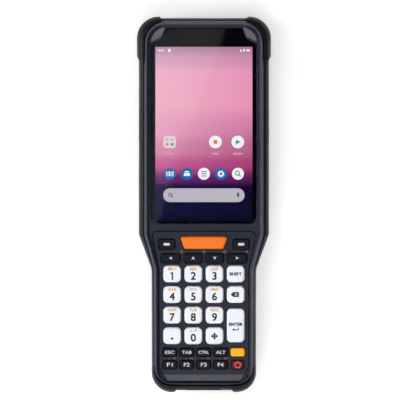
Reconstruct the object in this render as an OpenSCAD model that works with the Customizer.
// Handheld barcode data terminal: a touch display over a numeric keypad, a scanner in the top end.
// Millimetres. It lies on its back: +X across it, +Y to the scanner end, +Z out of the display.
// The origin is the centre of the bounding box's underside.

/* [Body] */
// Length over the corner bumpers
body_l = 200; // [196:1:208]
// Thickness from the back to the rim around the display
body_t = 32; // [31:0.5:36]
// Width of the head over its side rubber
head_w = 69.3; // [68:0.1:72]
// Width of the grip just below the waist
grip_w = 55.7; // [55:0.1:58]
// Width of the grip at its lower end
grip_end_w = 55.4; // [54.4:0.1:57]
// Distance from the keypad panel's top to the start of the waist
waist_from_panel = 1.8; // [0.4:0.1:2]
// Length of the slanted waist
waist_l = 18.2; // [16:0.1:24]
// Radius where the head turns into the waist
waist_out_r = 6; // [2:0.5:10]
// Radius where the waist turns into the grip
waist_in_r = 8; // [3:0.5:14]
// Radius of the two top corners
top_corner_r = 11.2; // [9:0.1:13]
// Radius of the two lower corners
end_corner_r = 10.7; // [9:0.1:13]
// Wall thickness of both housings
wall = 2; // [1.6:0.1:2.4]
// Height of the joint between the two housings
split_z = 16; // [15.5:0.1:16.4]

/* [Back] */
// Rise of the grip's back over the surface that the terminal lies on
back_rise = 6; // [4:0.5:7]
// Length of the raised hump behind the head, from the top end
hump_l = 62; // [56:1:66]
// Length of the slope from the hump to the grip
slope_l = 16; // [10:1:20]
// Length of the raised heel at the lower end
heel_l = 22; // [20:0.5:24]
// Length of the slope from the heel to the grip
heel_slope_l = 8; // [5:0.5:9]
// Radius of the long edges of the back
back_r = 7.5; // [4:0.5:7.5]

/* [Rubber bumper] */
// Rubber thickness at the sides of the head
rubber_side = 2.65; // [2:0.05:3]
// Rubber thickness at the top end
rubber_top = 1.5; // [1.2:0.05:2]
// Rubber thickness at the sides of the grip
rubber_grip = 1.4; // [1:0.05:1.8]
// Rubber thickness at the lower end
rubber_end = 2.4; // [2.2:0.05:3]
// Height of the rubber's lower edge over the back
band_low = 8.2; // [7.6:0.1:9]
// Height of the rubber's upper edge
band_high = 28.4; // [27.6:0.1:29]
// How far the top corner bumpers stand out sideways
lump_side = 1.05; // [0.4:0.05:1.5]
// How far the top corner bumpers stand out of the top end
lump_top = 0.8; // [0.4:0.05:1.5]
// How far the lower corner bumpers stand out of the lower end
lump_end = 1; // [0.4:0.05:1.5]
// Height of the corner bumpers' upper edge
lump_high = 30.4; // [29:0.1:30.8]

/* [Display] */
// Width of the front housing beside the cover glass
glass_side = 4; // [3.6:0.1:4.6]
// Thickness of the cover glass
glass_t = 1.1; // [0.7:0.1:1.4]
// Distance from the top end to the cover glass
glass_from_top = 6.4; // [6:0.1:7.5]
// Radius of the glass's two lower corners
glass_corner_r = 4.2; // [2:0.1:6]
// Width of each notch in the glass's top corners
notch_side = 7.8; // [7:0.1:9]
// Length of each notch
notch_l = 8.2; // [7:0.1:9]
// Width of the glass beside the display module
lcd_side = 1.2; // [1:0.1:2]
// Length of the glass above the display module
lcd_from_glass_top = 5; // [4.6:0.1:8]
// Length of the glass below the display module
lcd_from_glass_end = 1.4; // [1:0.1:4]
// Thickness of the display module
lcd_t = 2.6; // [2:0.1:3]
// Depth of the face around the glass, under the rim
dish = 0.85; // [0.5:0.05:1.2]

/* [Keypad] */
// Distance from the cover glass to the keypad panel
panel_gap = 4.1; // [3.5:0.1:5]
// Width of the front housing beside the panel's top
panel_top_side = 4.1; // [3.9:0.1:4.8]
// Width of the front housing beside the panel on the grip
panel_side = 2.6; // [2.4:0.1:3]
// Length of the panel
panel_l = 80.3; // [79.8:0.1:81]
// Distance from the panel to the lower end
panel_from_end = 5.4; // [5.2:0.1:7]
// Width of the panel's lower edge, between its cut corners
panel_end_w = 39.4; // [36:0.2:42]
// Length of the panel's cut corners
panel_cut_l = 8.2; // [7:0.1:9]
// Distance from the lower end to the bevel across the panel and the front housing
bevel_from_end = 9.3; // [8.8:0.1:9.6]
// Thickness of the panel
panel_t = 1.2; // [0.8:0.1:1.4]
// Depth of the panel under the rim
panel_drop = 1.6; // [1.2:0.1:1.9]
// Distance from the panel's side to the outer digit keys
key_margin = 2.3; // [1.6:0.1:2.8]
// Space between two columns of digit keys
key_space = 1.96; // [1.8:0.01:3]
// Distance between rows of digit keys
row_pitch = 10.95; // [10.6:0.01:11.1]
// Distance from the panel's top to the first row of digit keys
first_row = 22.7; // [22.4:0.1:23]
// Height of a digit key
key_h = 8.85; // [8:0.01:9.2]
// Corner radius of a digit key
key_r = 2.3; // [1:0.1:3.5]
// Length of the enter key
enter_h = 17.9; // [16:0.1:18.8]
// Top width of the scan key
scan_key_w = 25.6; // [23:0.1:26.4]
// Bottom width of the scan key
scan_key_end_w = 20.6; // [18:0.1:22]
// Height of the scan key
scan_key_h = 6.6; // [5:0.1:6.8]
// Distance from the panel's side to the outer small keys
small_margin = 2.1; // [1.8:0.1:3]
// Space between two small keys
small_space = 1.6; // [1.5:0.1:2.4]
// Distance from the panel's side to the outer arrow keys
arrow_margin = 1.1; // [0.9:0.1:2]
// Space between two arrow keys
arrow_space = 2.07; // [1.7:0.01:2.6]
// Height of an arrow key
arrow_h = 4.7; // [4:0.1:4.9]
// Height of a soft key, beside the scan key
soft_h = 5.3; // [4.4:0.1:5.6]
// Space between the scan key's top and a soft key
soft_space = 2.7; // [2.4:0.1:4]
// Height of a small key
small_h = 4.4; // [3.8:0.1:4.8]
// Depth of the digit keys' tops under the rim
key_drop = 0.1; // [0:0.05:0.4]
// Depth of the small keys' tops under the rim
small_drop = 0.5; // [0.3:0.1:0.9]
// Key travel
key_travel = 0.8; // [0.4:0.1:1]
// Gap around each key in the panel
key_gap = 0.25; // [0.15:0.05:0.35]

/* [Side controls] */
// Length of a side scan trigger
trigger_l = 24; // [16:1:26]
// Height of a side scan trigger
trigger_h = 7.6; // [5:0.1:7.8]
// Travel of a side scan trigger
trigger_travel = 0.8; // [0.4:0.1:1]
// Distance from the top end to the middle of the triggers
trigger_from_top = 58; // [56:1:60]
// Length of the volume rocker
rocker_l = 19; // [14:1:20]
// Height of the volume rocker
rocker_h = 6; // [4:0.1:6.4]
// Distance from the top end to the middle of the volume rocker
rocker_from_top = 34; // [33:1:35]
// Diameter of the rocker's pivot pins
rocker_pin_d = 1.2; // [0.8:0.1:1.4]

/* [Battery] */
// Width of the battery pack
battery_w = 39.6; // [36:0.1:40]
// Distance from the top end to the battery pack
battery_from_top = 86; // [84:0.5:92]
// Thickness of the battery pack
battery_t = 12.5; // [10:0.1:13]
// Distance from the lower end to the battery pack
battery_from_end = 34; // [33.6:0.1:38]
// Gap around the battery pack in its bay
battery_gap = 0.4; // [0.25:0.05:0.5]

/* [Scanner and ports] */
// Width of the scan window
scan_window_w = 27.8; // [24:0.1:29]
// Height of the scan window
scan_window_h = 15.8; // [12:0.1:16]
// Thickness of the scan window
scan_window_t = 1.5; // [1:0.1:1.7]
// Width of the port cover, beyond its hinge barrel
cover_l = 19.4; // [16:0.1:20]
// Height of the port cover
cover_h = 7.6; // [6:0.1:7.8]
// Diameter of the port cover's hinge pins
cover_pin_d = 1.2; // [0.8:0.1:1.3]
// Width of the camera window
camera_window_w = 10; // [9.6:0.1:12]
// Length of the camera window
camera_window_l = 15; // [14.6:0.1:18]
// Distance from the top end to the middle of the camera window
camera_from_top = 30; // [28:0.5:33]
// Distance from the top end to the middle of the speaker
speaker_from_top = 52; // [50:0.5:53]
// Diameter of a hole in front of the speaker
speaker_hole_d = 1.2; // [0.8:0.1:1.6]
// Distance between the holes in front of the speaker
speaker_hole_pitch = 2.4; // [2:0.1:2.6]

/* [Fasteners] */
// Shank diameter of a housing screw
screw_d = 2.5; // [2:0.1:3]
// Head diameter of a housing screw
screw_head_d = 4.8; // [4:0.1:5.2]
// Bore diameter of a strap insert, tapped for an M3 screw
insert_bore_d = 2.5; // [2:0.1:2.7]
// Outer diameter of a strap insert
insert_d = 4.6; // [4.2:0.1:5]
// Length of a strap insert
insert_l = 5; // [4:0.5:6]
// Spacing of the strap inserts behind the head
strap_head_w = 40; // [34:1:42]
// Spacing of the strap inserts in the heel
strap_heel_w = 14; // [12:1:20]

/* [Hidden] */
$fn = 48;
corner_steps = 8;
bend_steps = 4;
slope_steps = 6;
heel_steps = 4;
slip = 0.05;            // running gap between rubber and plastic, and around pins
seat_gap = 0.1;         // gap between a part and the recess that it sits in
stack_gap = 0.3;        // gap between parts that lie over each other
over = 1;               // how far a cut runs past the face that it opens
root_z = 1;             // height at which posts start inside the back wall

y_top = body_l / 2;
y_end = -body_l / 2;
edge_top = y_top - lump_top;
edge_end = y_end + lump_end;
shell_top_y = edge_top - rubber_top;
shell_end_y = edge_end + rubber_end;
head_in = head_w / 2 - rubber_side;     // half widths of the housings inside the rubber
grip_in = grip_w / 2 - rubber_grip;
end_in = grip_end_w / 2 - rubber_grip;
hump_y = y_top - hump_l;
heel_y = y_end + heel_l;
face_z = body_t - dish;
ridge_in = [1.05, 0.8, 0.5, 0.8];       // ridge inside the parting line: side, top, grip, end

panel_end_y = y_end + panel_from_end;
panel_top_y = panel_end_y + panel_l;
bevel_y = y_end + bevel_from_end;
bevel_fall = 0.488;                     // fall of the bevel's face over its length
lip_fall = 0.34;                        // fall of the underside of the panel's bent end
lip_gap = 0.15;                         // gap under the panel's bent end
deck_end_y = bevel_y + 1.1;             // end of the opening under the panel
panel_x = grip_in - panel_side;         // half widths of the panel
panel_top_x = head_in - panel_top_side;
waist_y = panel_top_y - waist_from_panel;
waist_end_y = waist_y - waist_l;

glass_w = 2 * (head_in - glass_side);
glass_top_y = y_top - glass_from_top;
glass_end_y = panel_top_y + panel_gap;
glass_drop = 0.15;                      // depth of the glass under the face
glass_z = face_z - glass_drop;
glass_low_z = glass_z - glass_t;
notch_x = glass_w / 2 - notch_side;
notch_slant = [1.9, 3.1];               // how far each notch's slanted side runs across and along
lcd_w = glass_w - 2 * lcd_side;
lcd_top_y = glass_top_y - lcd_from_glass_top;
lcd_end_y = glass_end_y + lcd_from_glass_end;
lcd_low_z = glass_low_z - lcd_t;
ledge_t = 2.3;                          // plastic under the glass's edge
roof_z = glass_low_z - ledge_t;

panel_z = body_t - panel_drop;
panel_low_z = panel_z - panel_t;
key_top_z = body_t - key_drop;
small_top_z = body_t - small_drop;
flange = 0.55;                          // how far each key's foot stands out under the panel
flange_t = 0.7;
panel_ledge = 1;                        // the panel's seat in the front housing
flange_z = panel_low_z - stack_gap;
mat_t = 0.7;
mat_z = flange_z - flange_t - key_travel - stack_gap;
mat_low_z = mat_z - mat_t;
stem_d = 3;
dome_d = [4, 2.4];
dome_h = 0.4;
dome_gap = 0.2;                         // left between a dome and the stem of a key pressed down
board_z = mat_low_z - key_travel - dome_gap - dome_h;
board_t = 1;

col_pitch = (panel_x - key_margin + key_space / 2) / 2;
key_w = col_pitch - key_space;
small_pitch = (panel_x - small_margin + small_space / 2) / 2.5;
small_w = small_pitch - small_space;
small_shift = -0.1;                     // small keys sit this far to the right of the middle
arrow_more = 0.8;                       // how much wider the outer arrow keys are
arrow_w = (panel_x - arrow_margin - 1.5 * arrow_space - arrow_more) / 2;
arrow_in_x = (arrow_space + arrow_w) / 2;
arrow_out_x = panel_x - arrow_margin - (arrow_w + arrow_more) / 2;
soft_margin = 3.8;                      // from the panel's top corner to the soft key's outer edge
soft_w = panel_top_x - soft_margin - scan_key_w / 2 - soft_space;
soft_x = panel_top_x - soft_margin - soft_w / 2;
power_less = 1;                         // how much narrower the power key is

scan_key_down = 2.8;                    // from the panel's top to the scan key
soft_down = 0.8;                        // from the scan key's middle to the soft keys'
arrow_up = 8.3;                         // from the first digit row to the arrow keys
esc_down = 8.8;                         // from the last digit row to the escape key's row
f_down = 6.6;                           // from there to the row below
row_y = [for (j = [0 : 3]) panel_top_y - first_row - j * row_pitch];
col_x = [for (i = [0 : 3]) (i - 1.5) * col_pitch];
small_x = [for (i = [0 : 4]) (i - 2) * small_pitch + small_shift];
scan_key_y = panel_top_y - scan_key_down - scan_key_h / 2;
soft_y = scan_key_y - soft_down;
arrow_y = row_y[0] + arrow_up;
esc_y = row_y[3] - esc_down;
f_y = esc_y - f_down;

battery_l = body_l - battery_from_end - battery_from_top;
battery_y = y_end + battery_from_end + battery_l / 2;
battery_r = 3;
bay_w = battery_w + 2 * battery_gap;
bay_wall = 1.6;
bay_roof_z = back_rise + battery_t + 0.5;
finger_notch = [16, 5, 1.5];            // width, length and depth past the back
catch_l = 14;
catch_t = 0.6;
catch_rod_d = 1.7;
catch_z = back_rise + 6;
catch_low_z = catch_z - 4.6;
catch_high_z = catch_z + 3.6;
contact_x = [-6, -2, 2, 6];
contact_y = battery_y + battery_l / 2 - 6;
contact_slot = [1.6, 4.4];

main_board_z = split_z + 6.6;
main_board_t = 1.2;
board_low_z = main_board_z - main_board_t;
trigger_y = y_top - trigger_from_top;
trigger_z = split_z + 0.9 + trigger_h / 2;
rocker_y = y_top - rocker_from_top;
rocker_z = split_z + 5;
rocker_pin_x = head_in - 1;
rocker_pin_l = 1;                       // how far each of the rocker's pins stands out
trigger_flange_t = 0.7;
switch_size = [4.7, 6, 2.4];
switch_x = head_in - wall - seat_gap * 2 - trigger_flange_t - trigger_travel - 0.2;
main_board_x = switch_x - 2.1;          // half width of the main board, under the switches

screw_spots = [[head_in - 5.5, y_top - 16], [head_in - 5.5, hump_y - 14], [end_in - 7.6, heel_y - 6]];
screw_seat = 3;                         // depth of each screw head's seat in the back
screw_head_t = 1.9;
screw_hex = 2.4;
screw_clear = 0.6;                      // added to the screws' diameters in the rear housing
boss_d = 6;                             // screw bosses in the front housing
rear_boss_d = 7.4;                      // screw bosses in the rear housing, which run into its walls
rib_t = 2.6;
boss_top_z = [lcd_low_z - 0.3, lcd_low_z - 0.3, board_z - board_t - 0.3];
screw_tip_z = boss_top_z[2] - 2;
strap_spots = [[strap_head_w / 2, hump_y + 8], [strap_heel_w / 2, heel_y - 10]];
insert_wall = 1.5;
insert_z = 0.8;                         // the inserts sit this far under the back
insert_top_z = insert_z + insert_l;
main_post_d = 4;
main_posts = [[15, hump_y + 2], [13, y_top - 20], [22, hump_y + 16]];
board_post_d = 3.6;
board_posts = [for (k = [[14, 1], [18, 0.5], [14, 0]]) [k[0], battery_y - k[1] * (battery_l / 2 - 6)]];

port_z = board_z - board_t;             // underside of the keypad board, which carries the connector
usb = [9, 7.4, 3.3];                    // width, depth and height of the connector's shell
usb_wall = 0.35;
cover_z = port_z - usb.z / 2;
cover_pin_x = -cover_l / 2 - 0.3;
cover_y = edge_end + rubber_end / 2;
cover_swing = 2.2;                      // room beside the cover's hinge, for the opened cover
cover_pin_l = 1;                        // how far each of the cover's pins stands out

camera_y = y_top - camera_from_top;
speaker_y = y_top - speaker_from_top;
speaker_size = [20, 11, 3.6];

// Each key: name, middle x, middle y, width, height, kind
SMALL = ["key_escape", "key_tab", "key_control", "key_alternate"];
LOW = ["key_f1", "key_f2", "key_f3", "key_f4"];
DIGITS = [["key_1", "key_2", "key_3", "key_shift"], ["key_4", "key_5", "key_6", "key_backspace"],
          ["key_7", "key_8", "key_9"], ["key_point", "key_0", "key_four_way"]];
KEYS = concat(
    [["key_scan", 0, scan_key_y, scan_key_w, scan_key_h, "scan"]],
    [["key_soft_left", -soft_x, soft_y, soft_w, soft_h, "dark"],
     ["key_soft_right", soft_x, soft_y, soft_w, soft_h, "dark"]],
    [["key_left", -arrow_out_x, arrow_y, arrow_w + arrow_more, arrow_h, "dark"],
     ["key_up", -arrow_in_x, arrow_y, arrow_w, arrow_h, "dark"],
     ["key_down", arrow_in_x, arrow_y, arrow_w, arrow_h, "dark"],
     ["key_right", arrow_out_x, arrow_y, arrow_w + arrow_more, arrow_h, "dark"]],
    [for (j = [0 : 3]) for (i = [0 : len(DIGITS[j]) - 1])
        [DIGITS[j][i], col_x[i], row_y[j], key_w, key_h, "digit"]],
    [["key_enter", col_x[3], (row_y[2] + row_y[3]) / 2, key_w, enter_h, "digit"]],
    [for (i = [0 : 3]) [SMALL[i], small_x[i], esc_y, small_w, small_h, "dark"]],
    [["key_function", small_x[4], esc_y, small_w, small_h, "yellow"]],
    [for (i = [0 : 3]) [LOW[i], small_x[i], f_y, small_w, small_h, "dark"]],
    [["key_power", small_x[4], f_y, small_w - power_less, small_h, "red"]]);

shell_grey = "#34363d";
rubber_black = "#14161c";
metal = "#b8bcc4";
board_green = "#1f5a3a";

// ---- Outlines: closed lists of corners [x, y, radius, steps], counter-clockwise from above ----

function unit(v) = v / norm(v);
function outward(a, b) = let (e = unit(b - a)) [e.y, -e.x];
function xy(v) = [v.x, v.y];

// The arc at corner v between its neighbours p and q, on the outline moved inwards by d
function corner(p, v, q, r, steps, d) = let (
    n0 = outward(p, v), n1 = outward(v, q),
    lean = (n0 + n1) / (1 + n0 * n1),
    turn = atan2(cross(n0, n1), n0 * n1),
    sense = turn < 0 ? -1 : 1,
    rr = max(r - sense * d, 0.3),
    mid = v - d * lean - sense * rr * lean,
    a0 = atan2(n0.y, n0.x))
    [for (k = [0 : steps]) let (a = a0 + turn * k / max(steps, 1)) mid + sense * rr * [cos(a), sin(a)]];

function loop(vs, d = 0) = let (m = len(vs)) [for (i = [0 : m - 1])
    each steps_at(vs, i, m, d)];
function steps_at(vs, i, m, d) = vs[i][3] == 0
    ? [straight(xy(vs[(i + m - 1) % m]), xy(vs[i]), d)]
    : corner(xy(vs[(i + m - 1) % m]), xy(vs[i]), xy(vs[(i + 1) % m]), vs[i][2], vs[i][3], d);
function straight(p, v, d) = v - d * outward(p, v);

function both_sides(half) = concat(half,
    [for (i = [len(half) - 1 : -1 : 0]) [-half[i].x, half[i].y, half[i][2], half[i][3]]]);

// The terminal's outline from its half widths at the head, the grip and the lower end
function body_outline(hx, gx, ex, y0, y1, r_top, r_end) =
    let (slant = (gx - ex) / (waist_end_y - y0))
    both_sides(concat(
        [[ex, y0, r_end, corner_steps]],
        [for (k = [0 : heel_steps]) let (y = heel_y + k * heel_slope_l / heel_steps)
            [ex + (y - y0) * slant, y, 0, 0]],
        [[gx, waist_end_y, waist_in_r, bend_steps], [hx, waist_y, waist_out_r, bend_steps]],
        [for (k = [0 : slope_steps]) [hx, hump_y - slope_l + k * slope_l / slope_steps, 0, 0]],
        [[hx, y1, r_top, corner_steps]]));

OUTER = body_outline(head_w / 2, grip_w / 2, grip_end_w / 2, edge_end, edge_top, top_corner_r, end_corner_r);
LUMP = body_outline(head_w / 2 + lump_side, grip_w / 2 + 0.1, grip_end_w / 2 + 0.1, y_end, y_top,
    top_corner_r + 0.5, end_corner_r);
SHELL = body_outline(head_in, grip_in, end_in, shell_end_y, shell_top_y,
    top_corner_r + 1, end_corner_r - 1.5);
RIDGE = body_outline(head_in - ridge_in[0], grip_in - ridge_in[2], end_in - ridge_in[2],
    shell_end_y + ridge_in[3], shell_top_y - ridge_in[1], top_corner_r, end_corner_r - 2);

panel_end_x = end_in - panel_side + 0.2;
panel_knee = [panel_end_w / 2 + 1.1, panel_end_y + 2.8];
panel_cut = [panel_end_x, panel_end_y + panel_cut_l];
panel_sides = [[panel_x, waist_end_y - 1, 10, 4], [panel_top_x, panel_top_y, 2.5, 5]];
PANEL = both_sides(concat([[panel_end_w / 2, panel_end_y, 1.5, 4], [panel_knee.x, panel_knee.y, 0, 0],
    [mix(panel_knee.x, panel_cut.x, (bevel_y - panel_knee.y) / (panel_cut.y - panel_knee.y)), bevel_y, 0, 0],
    [panel_cut.x, panel_cut.y, 2, 3]], panel_sides));
DECK = both_sides(concat([[panel_end_x, deck_end_y, 3, 5]], panel_sides));
GLASS = both_sides([
    [glass_w / 2, glass_end_y, glass_corner_r, 8], [glass_w / 2, glass_top_y - notch_l, 0.8, 3],
    [notch_x + notch_slant[0], glass_top_y - notch_l + notch_slant[1], 1, 3],
    [notch_x, glass_top_y, 0.8, 3]]);

function rounded(w, h, r, steps = 6) =
    [for (c = [[1, -1], [1, 1], [-1, 1], [-1, -1]]) [c.x * w / 2, c.y * h / 2, r, steps]];

function at_z(ring, z) = [for (p = ring) [p.x, p.y, z]];
function moved(ring, x, y) = [for (p = ring) [p.x + x, p.y + y]];
function over_back(ring, h) = [for (p = ring) [p.x, p.y, back_z(p.y) + h]];
function mix(a, b, t) = a + (b - a) * t;
function below_bevel(ring, z, fall = bevel_fall, from = bevel_y) =
    [for (p = ring) [p.x, p.y, z - fall * max(0, from - p.y)]];

function ease(t) = let (u = max(0, min(1, t))) u * u * (3 - 2 * u);
function back_z(y) = back_rise * min(ease((hump_y - y) / slope_l), ease((y - heel_y) / heel_slope_l));

// ---- Solids from rings of points ----

function walls(n, from, to) = [for (i = [0 : n - 1]) let (k = (i + 1) % n)
    [from * n + i, to * n + i, to * n + k, from * n + k]];
// Strips across a ring whose halves mirror each other, so that it may follow the back
function strips(n) = [for (i = [0 : n / 2 - 2]) [i, i + 1, n - 2 - i, n - 1 - i]];
function turned_over(faces, first) = [for (f = faces) [for (i = [3 : -1 : 0]) first + f[i]]];

// A closed solid through mirrored rings with the same number of points, lowest first
module stack(rings) {
    n = len(rings[0]);
    m = len(rings);
    polyhedron(points = [for (r = rings) each r], convexity = 6, faces = concat(
        strips(n),
        [for (j = [0 : m - 2]) each walls(n, j, j + 1)],
        turned_over(strips(n), (m - 1) * n)));
}

// A closed frame: the rings run up its outside, over its top and down its inside
module band(rings) {
    n = len(rings[0]);
    m = len(rings);
    polyhedron(points = [for (r = rings) each r], convexity = 10,
        faces = [for (j = [0 : m - 1]) each walls(n, j, (j + 1) % m)]);
}

module slab(vs, z0, z1, d = 0) { translate([0, 0, z0]) linear_extrude(z1 - z0) polygon(loop(vs, d)); }
module box(x0, x1, y0, y1, z0, z1) { translate([x0, y0, z0]) cube([x1 - x0, y1 - y0, z1 - z0]); }
module rod(x, y, z0, z1, d) { translate([x, y, z0]) cylinder(d = d, h = z1 - z0); }
// A flat shape seen from the top end, pulled towards the lower end
module across(x, y, z, l) { translate([x, y, z]) rotate([90, 0, 0]) linear_extrude(l) children(); }
module pin(x, y, z, half, d) { rod(x, y, z - half, z + half, d); }
module mirrored() { children(); mirror([1, 0, 0]) children(); }

// ---- Housings ----

module front_form() {
    shell = loop(SHELL);
    ridge = loop(RIDGE);
    stack([
        at_z(shell, split_z), at_z(shell, body_t - 4.8),
        below_bevel(mix(shell, ridge, 0.45), body_t - 1.4),
        below_bevel(mix(shell, ridge, 0.85), body_t - 0.25),
        below_bevel(loop(RIDGE, 0.1), body_t), below_bevel(loop(RIDGE, 0.55), body_t - 0.05),
        below_bevel(loop(RIDGE, 1.6), body_t - 0.55), below_bevel(loop(RIDGE, 2.7), face_z)]);
}

module side_window(y, z, l, h, gap) {
    box(head_in - wall - 2, head_w / 2 + 3,
        y - l / 2 - gap, y + l / 2 + gap, z - h / 2 - gap, z + h / 2 + gap);
}

module side_windows(gap) {
    mirrored() side_window(trigger_y, trigger_z, trigger_l, trigger_h, gap);
    mirror([1, 0, 0]) side_window(rocker_y, rocker_z, rocker_l, rocker_h, gap + 0.1);
}

scan_window_z = split_z - 2;
module scan_opening(gap) {
    box(-scan_window_w / 2 - gap, scan_window_w / 2 + gap, y_top - 7, y_top + over,
        scan_window_z - scan_window_h / 2 - gap, scan_window_z + scan_window_h / 2 + gap);
}

module port_opening() {
    box(-usb.x / 2 - 1, usb.x / 2 + 1, y_end - over, y_end + 8,
        cover_z - usb.z / 2 - 0.15, cover_z + usb.z / 2 + 0.15);
}

module front_bosses() {
    mirrored() for (i = [0 : 2]) {
        s = screw_spots[i];
        low = split_z + 0.2;
        top = boss_top_z[i];
        rod(s.x, s.y, low, top, boss_d);
        rib_low = low + 0.4;
        rib_top = top - 0.4;
        if (i < 2) box(s.x, head_in - wall / 2, s.y - rib_t / 2, s.y + rib_t / 2, rib_low, rib_top);
        else box(s.x - rib_t / 2, s.x + rib_t / 2, shell_end_y + wall / 2, s.y, rib_low, rib_top);
    }
}

module front_housing() color(shell_grey) difference() {
    union() {
        difference() {
            front_form();
            slab(SHELL, split_z - over, roof_z, wall);
        }
        front_bosses();
        box(-panel_knee.x, panel_knee.x, shell_end_y + wall / 2, bevel_y, roof_z - 1.4, roof_z + 0.5);
    }
    slab(GLASS, glass_low_z, body_t + over, -seat_gap);
    box(-lcd_w / 2 - 0.2, lcd_w / 2 + 0.2, lcd_end_y - stack_gap, lcd_top_y + stack_gap,
        roof_z - over, body_t);
    mirrored() {
        slab(lens_outline(), glass_low_z, body_t + over, -seat_gap);
        rod(lens_post.x, lens_post.y, roof_z - over, body_t, lens_post_d + 0.3);
    }
    stack([below_bevel(loop(PANEL, -seat_gap), panel_low_z, lip_fall, bevel_y + lip_gap / lip_fall),
        at_z(loop(PANEL, -seat_gap), body_t + over)]);
    slab(DECK, roof_z - over, body_t, panel_ledge);
    side_windows(key_gap);
    scan_opening(seat_gap);
    port_opening();
    mirrored() for (s = screw_spots) rod(s.x, s.y, split_z - over, screw_tip_z + 0.5, screw_d + 2 * slip);
    pin(-rocker_pin_x, rocker_y, rocker_z, rocker_h / 2 + rocker_pin_l + 0.2, rocker_pin_d + 2 * slip);
}

module rear_form() {
    inside = 0.2;
    arc = [for (a = [0 : 18 : 90]) over_back(loop(OUTER, inside + (back_r - inside) * (1 - sin(a))),
        back_r * (1 - cos(a)))];
    stack(concat(arc, [
        over_back(loop(OUTER, inside), band_low - slip),
        over_back(loop(SHELL), band_low - slip / 2),
        at_z(loop(SHELL), split_z)]));
}

module rear_hollow() {
    r = back_r - wall;
    arc = [for (a = [0 : 22.5 : 90])
        over_back(loop(SHELL, wall + r * (1 - sin(a))), wall + r * (1 - cos(a)))];
    stack(concat(arc, [at_z(loop(SHELL, wall), split_z + over)]));
}

module bay_block(grow, z0, z1) {
    bay = rounded(bay_w, battery_l + 2 * battery_gap, battery_r + battery_gap);
    translate([0, battery_y, 0]) slab(bay, z0, z1, -grow);
}

module rear_housing() color(shell_grey) difference() {
    union() {
        difference() {
            rear_form();
            rear_hollow();
        }
        bay_block(bay_wall, back_rise + 0.6, bay_roof_z + bay_wall);
        mirrored() {
            for (s = screw_spots) rod(s.x, s.y, back_z(s.y) + root_z, split_z, rear_boss_d);
            for (s = strap_spots) rod(s.x, s.y, root_z, insert_top_z + 1.4, insert_d + 2 * insert_wall);
            for (p = main_posts) rod(p.x, p.y, root_z, board_low_z, main_post_d);
            for (p = board_posts) rod(p.x, p.y, bay_roof_z + root_z, port_z, board_post_d);
        }
    }
    bay_block(0, 0, bay_roof_z);
    mirrored() {
        for (s = screw_spots) {
            rod(s.x, s.y, -over, split_z + over, screw_d + screw_clear);
            rod(s.x, s.y, -over, back_z(s.y) + screw_seat, screw_head_d + screw_clear);
        }
        for (s = strap_spots) rod(s.x, s.y, -over, insert_top_z + 0.4, insert_d + 2 * slip);
        box(bay_w / 2 - 1, bay_w / 2 + catch_t, battery_y - catch_l / 2 - 0.2, battery_y + catch_l / 2 + 0.2,
            catch_low_z - 0.4, catch_high_z + 0.4);
    }
    for (x = contact_x) translate([x, contact_y, bay_roof_z])
        slab(rounded(contact_slot.x, contact_slot.y, 0.3), -over, 4);
    scan_opening(seat_gap);
    rod(0, camera_y + camera_dy, -over, 2 * wall, 6.4);
    rod(0, camera_y - camera_dy, -over, 2 * wall, 4);
    translate([0, camera_y, 0]) slab(window_outline(), -over, camera_window_t, -seat_gap);
    for (i = [-3 : 3]) for (j = [-1 : 1])
        rod(i * speaker_hole_pitch, speaker_y + j * speaker_hole_pitch, -over, 2 * wall, speaker_hole_d);
    translate([0, battery_y - battery_l / 2 - 1.2, 0])
        slab(rounded(finger_notch.x, finger_notch.y, 2.4), 0, back_rise + finger_notch.z);
}

// Where the corner bumpers stand out: their ends are slanted
lump_out_x = head_w / 2 + 6;
function top_lump() = let (x = head_w / 2 - 12.05, y = y_top - 24) [
    [x, edge_top - 0.3], [x + 1.8, y_top + over], [lump_out_x, y_top + over], [lump_out_x, y + 4],
    [head_w / 2 + lump_side + 0.4, y + 3.6], [head_w / 2 - 0.4, y], [x, y]];
function end_lump() = let (x = grip_end_w / 2 - 13, y = y_end + 14) [
    [x, edge_end + 0.3], [x, y], [lump_out_x, y], [lump_out_x, y_end - over], [x + 2, y_end - over]];

module bumper_frame() color(rubber_black) {
    shell = loop(SHELL, -slip);
    outer = loop(OUTER);
    lump = loop(LUMP);
    lump_low = band_low + 0.1;
    difference() {
        union() {
            band([
                over_back(mix(shell, outer, 0.85), band_low), over_back(outer, band_low + 0.8),
                at_z(outer, band_high - 5.4), at_z(mix(shell, outer, 0.85), band_high - 2.9),
                at_z(mix(shell, outer, 0.5), band_high - 0.9), at_z(mix(shell, outer, 0.12), band_high),
                at_z(shell, band_high), over_back(shell, band_low)]);
            intersection() {
                band([
                    over_back(mix(shell, lump, 0.9), lump_low), over_back(lump, lump_low + 0.9),
                    at_z(lump, lump_high - 5.9), at_z(mix(shell, lump, 0.82), lump_high - 3),
                    at_z(mix(shell, lump, 0.5), lump_high - 0.9), at_z(mix(shell, lump, 0.14), lump_high),
                    at_z(shell, lump_high), over_back(shell, lump_low)]);
                mirrored() linear_extrude(body_t) {
                    polygon(top_lump());
                    polygon(end_lump());
                }
            }
        }
        side_windows(key_gap + 0.1);
        scan_opening(1.2);
        box(cover_pin_x - cover_swing, cover_pin_x + cover_l + 0.75, y_end - over, y_end + 6,
            cover_z - cover_h / 2 - 0.2, cover_z + cover_h / 2 + 0.2);
        pin(cover_pin_x, cover_y, cover_z, cover_h / 2 + cover_pin_l + 0.1, cover_pin_d + 2 * slip);
    }
}

// ---- Display ----

module display_glass() color("#0c0f16") stack([
    at_z(loop(GLASS), glass_low_z), at_z(loop(GLASS), glass_z - 0.25), at_z(loop(GLASS, 0.25), glass_z)]);

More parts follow.
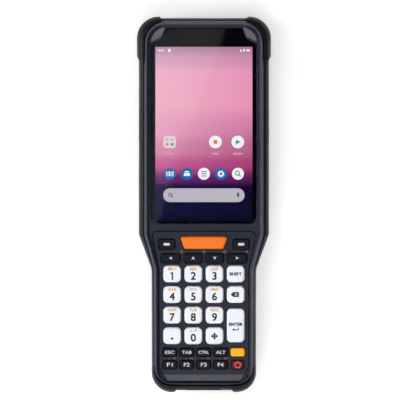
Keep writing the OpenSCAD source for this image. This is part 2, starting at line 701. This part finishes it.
module display_module() color("#c9809f") {
    translate([0, (lcd_top_y + lcd_end_y) / 2, 0])
        slab(rounded(lcd_w, lcd_top_y - lcd_end_y, 1.2, 3), lcd_low_z, glass_low_z);
    box(-9, 9, lcd_end_y + 4, lcd_end_y + 14, lcd_low_z - 1, lcd_low_z);
}

// Light guides in the two top corners: an arc along the rim, cut by the glass's notch
lens_post = [glass_w / 2 - 2.8, glass_top_y - 2.3];
lens_post_d = 1.6;
lens_r = top_corner_r - 2.6;
lens_mid = [head_in - ridge_in[0] - top_corner_r, shell_top_y - ridge_in[1] - top_corner_r];
function lens_outline() = concat(
    [for (a = [4 : 11 : 81]) [lens_mid.x + lens_r * cos(a), lens_mid.y + lens_r * sin(a), 0.3, 1]],
    [[notch_x + 0.5, lens_mid.y + lens_r * sin(81) - 0.5, 0.3, 1],
     [notch_x + notch_slant[0] + 0.5, glass_top_y - notch_l + notch_slant[1] + 0.5, 0.3, 1]]);

module indicator_lenses() color("#8a8d99") mirrored() {
    slab(lens_outline(), glass_low_z, face_z - 0.05);
    rod(lens_post.x, lens_post.y, main_board_z + 0.6, glass_low_z + 0.5, lens_post_d);
}

// ---- Keypad ----

small_r = 1.2;
function key_corners(k) = k[5] == "scan"
    ? [[scan_key_end_w / 2, -k[4] / 2, small_r, 4], [k[3] / 2, k[4] / 2, small_r, 4],
       [-k[3] / 2, k[4] / 2, small_r, 4], [-scan_key_end_w / 2, -k[4] / 2, small_r, 4]]
    : rounded(k[3], k[4], k[5] == "digit" ? key_r : small_r, 5);
function key_colour(kind) = kind == "digit" ? "#edf0f7" : kind == "scan" ? "#f17d26"
    : kind == "yellow" ? "#ffb010" : kind == "red" ? "#7a1f2a" : "#16181f";

module key(k) color(key_colour(k[5])) {
    top = k[5] == "digit" || k[5] == "scan" ? key_top_z : small_top_z;
    vs = key_corners(k);
    x = k[1];
    y = k[2];
    stack([at_z(moved(loop(vs), x, y), flange_z), at_z(moved(loop(vs), x, y), top - 0.6),
        at_z(moved(loop(vs, 0.2), x, y), top - 0.2), at_z(moved(loop(vs, 0.75), x, y), top)]);
    translate([x, y, flange_z - flange_t]) linear_extrude(flange_t) polygon(loop(vs, -flange));
    rod(x, y, mat_low_z, flange_z - flange_t, stem_d);
}

module keypad_panel() color("#2a2c38") difference() {
    edge = 0.3;
    stack([below_bevel(loop(PANEL), panel_low_z, lip_fall), below_bevel(loop(PANEL), panel_z - edge),
        below_bevel(loop(PANEL, edge), panel_z)]);
    for (k = KEYS) translate([k[1], k[2], 0]) slab(key_corners(k), panel_low_z - over, body_t, -key_gap);
}

module keypad_mat() color("#5b5e66") difference() {
    slab(DECK, board_z, roof_z, stack_gap);
    slab(DECK, board_z - over, mat_low_z, 1.5);
    slab(DECK, mat_z, roof_z + over, panel_ledge);
    for (k = KEYS) rod(k[1], k[2], mat_low_z - over, mat_z + over, stem_d + 0.7);
}

module keypad_board() color(board_green) slab(DECK, port_z, board_z, stack_gap);

module dome_switches() color(metal) for (k = KEYS) translate([k[1], k[2], board_z]) {
    cylinder(d = dome_d[0], h = dome_h / 2);
    cylinder(d = dome_d[1], h = dome_h);
}

// ---- Electronics ----

module main_board() color(board_green) difference() {
    box(-main_board_x, main_board_x, battery_y + battery_l / 2 - 10, lcd_top_y + 4,
        board_low_z, main_board_z);
    mirrored() for (i = [0 : 1]) rod(screw_spots[i].x, screw_spots[i].y, 0, body_t, boss_d + 0.6);
}

can_w = 24;
can_l = [16, 9];
can_h = [2.6, 1.8];
module shield_cans() color(metal) {
    box(-can_w / 2, -2, hump_y - can_l[0] / 2, hump_y + can_l[0] / 2, board_low_z - can_h[0], board_low_z);
    box(3, can_w / 2, hump_y - can_l[0] / 2, hump_y + can_l[0] / 2, board_low_z - can_h[0], board_low_z);
    box(-can_w / 2, can_w / 2, hump_y + 13, hump_y + 13 + can_l[1], board_low_z - can_h[1], board_low_z);
}

engine = [21, 14, 11.2];                // width, length, and height around the window's middle
eye_x = [-5, 5];
eye_d = [6.4, 5];
eye_deep = [2, 1.5];
module scan_engine() color("#3a3d46") {
    face_y = shell_top_y - scan_window_t - 1.4;
    difference() {
        box(-engine.x / 2, engine.x / 2, face_y - engine.y, face_y,
            scan_window_z - engine.z / 2, board_low_z);
        for (i = [0, 1]) across(eye_x[i], face_y + over, scan_window_z, over + eye_deep[i])
            circle(d = eye_d[i]);
    }
    for (i = [0, 1]) across(eye_x[i], face_y - 0.6, scan_window_z, eye_deep[i] - 0.4)
        circle(d = eye_d[i] - 0.8);
}

module scan_window() color("#3b0d12")
    across(0, shell_top_y - 0.3, scan_window_z, scan_window_t)
        polygon(loop(rounded(scan_window_w, scan_window_h, 1, 3)));

camera_dy = 3.6;
camera_size = [8.5, 5.4];               // side and height of the camera's body
flash_size = [4, 1.2];
lens_barrel_d = [5.8, 3.4];
camera_window_t = 1;
function window_outline() = rounded(camera_window_w, camera_window_l, camera_window_w / 2 - 0.1, 8);

module rear_camera() color("#1c1e24") {
    c = camera_size[0] / 2;
    f = flash_size[0] / 2;
    y = [camera_y + camera_dy, camera_y - camera_dy];
    box(-c, c, y[0] - c, y[0] + c, wall, wall + camera_size[1]);
    box(-f, f, y[1] - f, y[1] + f, wall, wall + flash_size[1]);
    box(-3, 3, y[1] - 1, y[0], wall + flash_size[1] / 2, wall + flash_size[1]);
    for (i = [0, 1]) rod(0, y[i], camera_window_t + 0.2, wall + 0.5, lens_barrel_d[i]);
}

module camera_window() color("#0a0c12") translate([0, camera_y, 0])
    slab(window_outline(), seat_gap, camera_window_t);

module speaker() color("#26282e") translate([0, speaker_y, 0])
    slab(rounded(speaker_size.x, speaker_size.y, 2), wall, wall + speaker_size.z);

module usb_connector() color(metal) difference() {
    back_y = y_end + 13;
    across(0, back_y, cover_z, usb.y) polygon(loop(rounded(usb.x, usb.z, 1.3, 5)));
    across(0, back_y - 1, cover_z, usb.y) polygon(loop(rounded(usb.x, usb.z, 1.3, 5), usb_wall));
}

module port_cover() color(rubber_black) {
    x0 = cover_pin_x;
    face = edge_end + 0.05;
    back = shell_end_y - 0.2;
    box(x0, x0 + cover_l, face, back, cover_z - cover_h / 2, cover_z + cover_h / 2);
    pin(x0, cover_y, cover_z, cover_h / 2, rubber_end - 0.3);
    pin(x0, cover_y, cover_z, cover_h / 2 + cover_pin_l, cover_pin_d);
    across(0, back + 1.8, cover_z, 1.9) polygon(loop(rounded(usb.x - 0.8, usb.z - 0.8, 1, 5)));
}

// ---- Battery ----

module battery_pack() color("#23252b") {
    vs = rounded(battery_w, battery_l, battery_r);
    low = back_rise;
    high = low + battery_t;
    translate([0, battery_y, 0]) difference() {
        stack([at_z(loop(vs, 0.8), low), at_z(loop(vs, 0.2), low + 0.25),
            at_z(loop(vs), low + 0.8), at_z(loop(vs), high)]);
        mirrored() box(battery_w / 2 - 0.9, battery_w, -catch_l / 2 - 0.5, catch_l / 2 + 0.5,
            catch_z - 1.3, catch_z + 1.3);
        for (x = contact_x) translate([x, contact_y - battery_y, high])
            slab(rounded(contact_slot.x + 0.4, contact_slot.y + 0.4, 0.3), -0.5, over);
    }
}

module battery_catches() color(metal) mirrored() {
    x = bay_w / 2;
    box(x, x + catch_t - slip, battery_y - catch_l / 2, battery_y + catch_l / 2,
        catch_low_z, catch_high_z);
    across(x - 0.3, battery_y + catch_l / 4, catch_z, catch_l / 2) circle(d = catch_rod_d);
}

module battery_contacts() color("#c9a24a") for (x = contact_x) {
    half = contact_slot.x / 2 - 0.2;
    end = contact_y + contact_slot.y / 2 - 0.2;
    box(x - half, x + half, contact_y - 2, end, bay_roof_z - 0.55, bay_roof_z + bay_wall + 0.4);
    box(x - half, x + half, contact_y + 0.6, end, bay_roof_z, board_low_z);
}

// ---- Side controls ----

module side_trigger() {
    inner = head_in - wall - 2 * seat_gap;
    foot = trigger_flange_t;
    translate([inner, trigger_y, trigger_z]) rotate([0, 90, 0]) {
        slab(rounded(trigger_h, trigger_l, 2.2, 5), 0, head_w / 2 - inner - 0.05);
        slab(rounded(trigger_h + 2 * foot, trigger_l + 2 * foot, 2.4, 5), -foot, 0);
    }
}

module trigger_right() color(rubber_black) side_trigger();
module trigger_left() color(rubber_black) mirror([1, 0, 0]) side_trigger();

module volume_rocker() color(rubber_black) {
    translate([-head_w / 2 + 0.1, rocker_y, rocker_z]) rotate([0, 90, 0])
        slab(rounded(rocker_h, rocker_l, 2, 5), 0, wall + rubber_side + 0.7);
    pin(-rocker_pin_x, rocker_y, rocker_z, rocker_h / 2 + rocker_pin_l, rocker_pin_d);
}

module side_switches() color(metal) {
    low = board_low_z - switch_size.z;
    x0 = switch_x - switch_size.x;
    mirrored() box(x0, switch_x, trigger_y - switch_size.y / 2, trigger_y + switch_size.y / 2,
        low, board_low_z);
    for (y = [rocker_y - rocker_l / 3, rocker_y + rocker_l / 3])
        box(-switch_x - 0.5, -x0, y - switch_size.y / 3, y + switch_size.y / 3, low, board_low_z);
}

// ---- Fasteners ----

module housing_screws() color(metal) mirrored() for (s = screw_spots) difference() {
    seat_z = back_z(s.y) + screw_seat;
    union() {
        rod(s.x, s.y, seat_z - screw_head_t, seat_z, screw_head_d);
        rod(s.x, s.y, seat_z - 0.5, screw_tip_z, screw_d);
    }
    translate([s.x, s.y, seat_z - screw_head_t - over]) cylinder(d = screw_hex, h = over + 1, $fn = 6);
}

module strap_inserts() color("#c9a24a") mirrored() for (s = strap_spots) difference() {
    rod(s.x, s.y, insert_z, insert_top_z, insert_d);
    rod(s.x, s.y, -over, insert_top_z - 0.6, insert_bore_d);
}

front_housing();
rear_housing();
bumper_frame();
display_glass();
display_module();
indicator_lenses();
keypad_panel();
keypad_mat();
keypad_board();
dome_switches();
main_board();
shield_cans();
scan_engine();
scan_window();
rear_camera();
camera_window();
speaker();
usb_connector();
port_cover();
battery_pack();
battery_catches();
battery_contacts();
trigger_left();
trigger_right();
volume_rocker();
side_switches();
housing_screws();
strap_inserts();
for (k = KEYS) key(k);
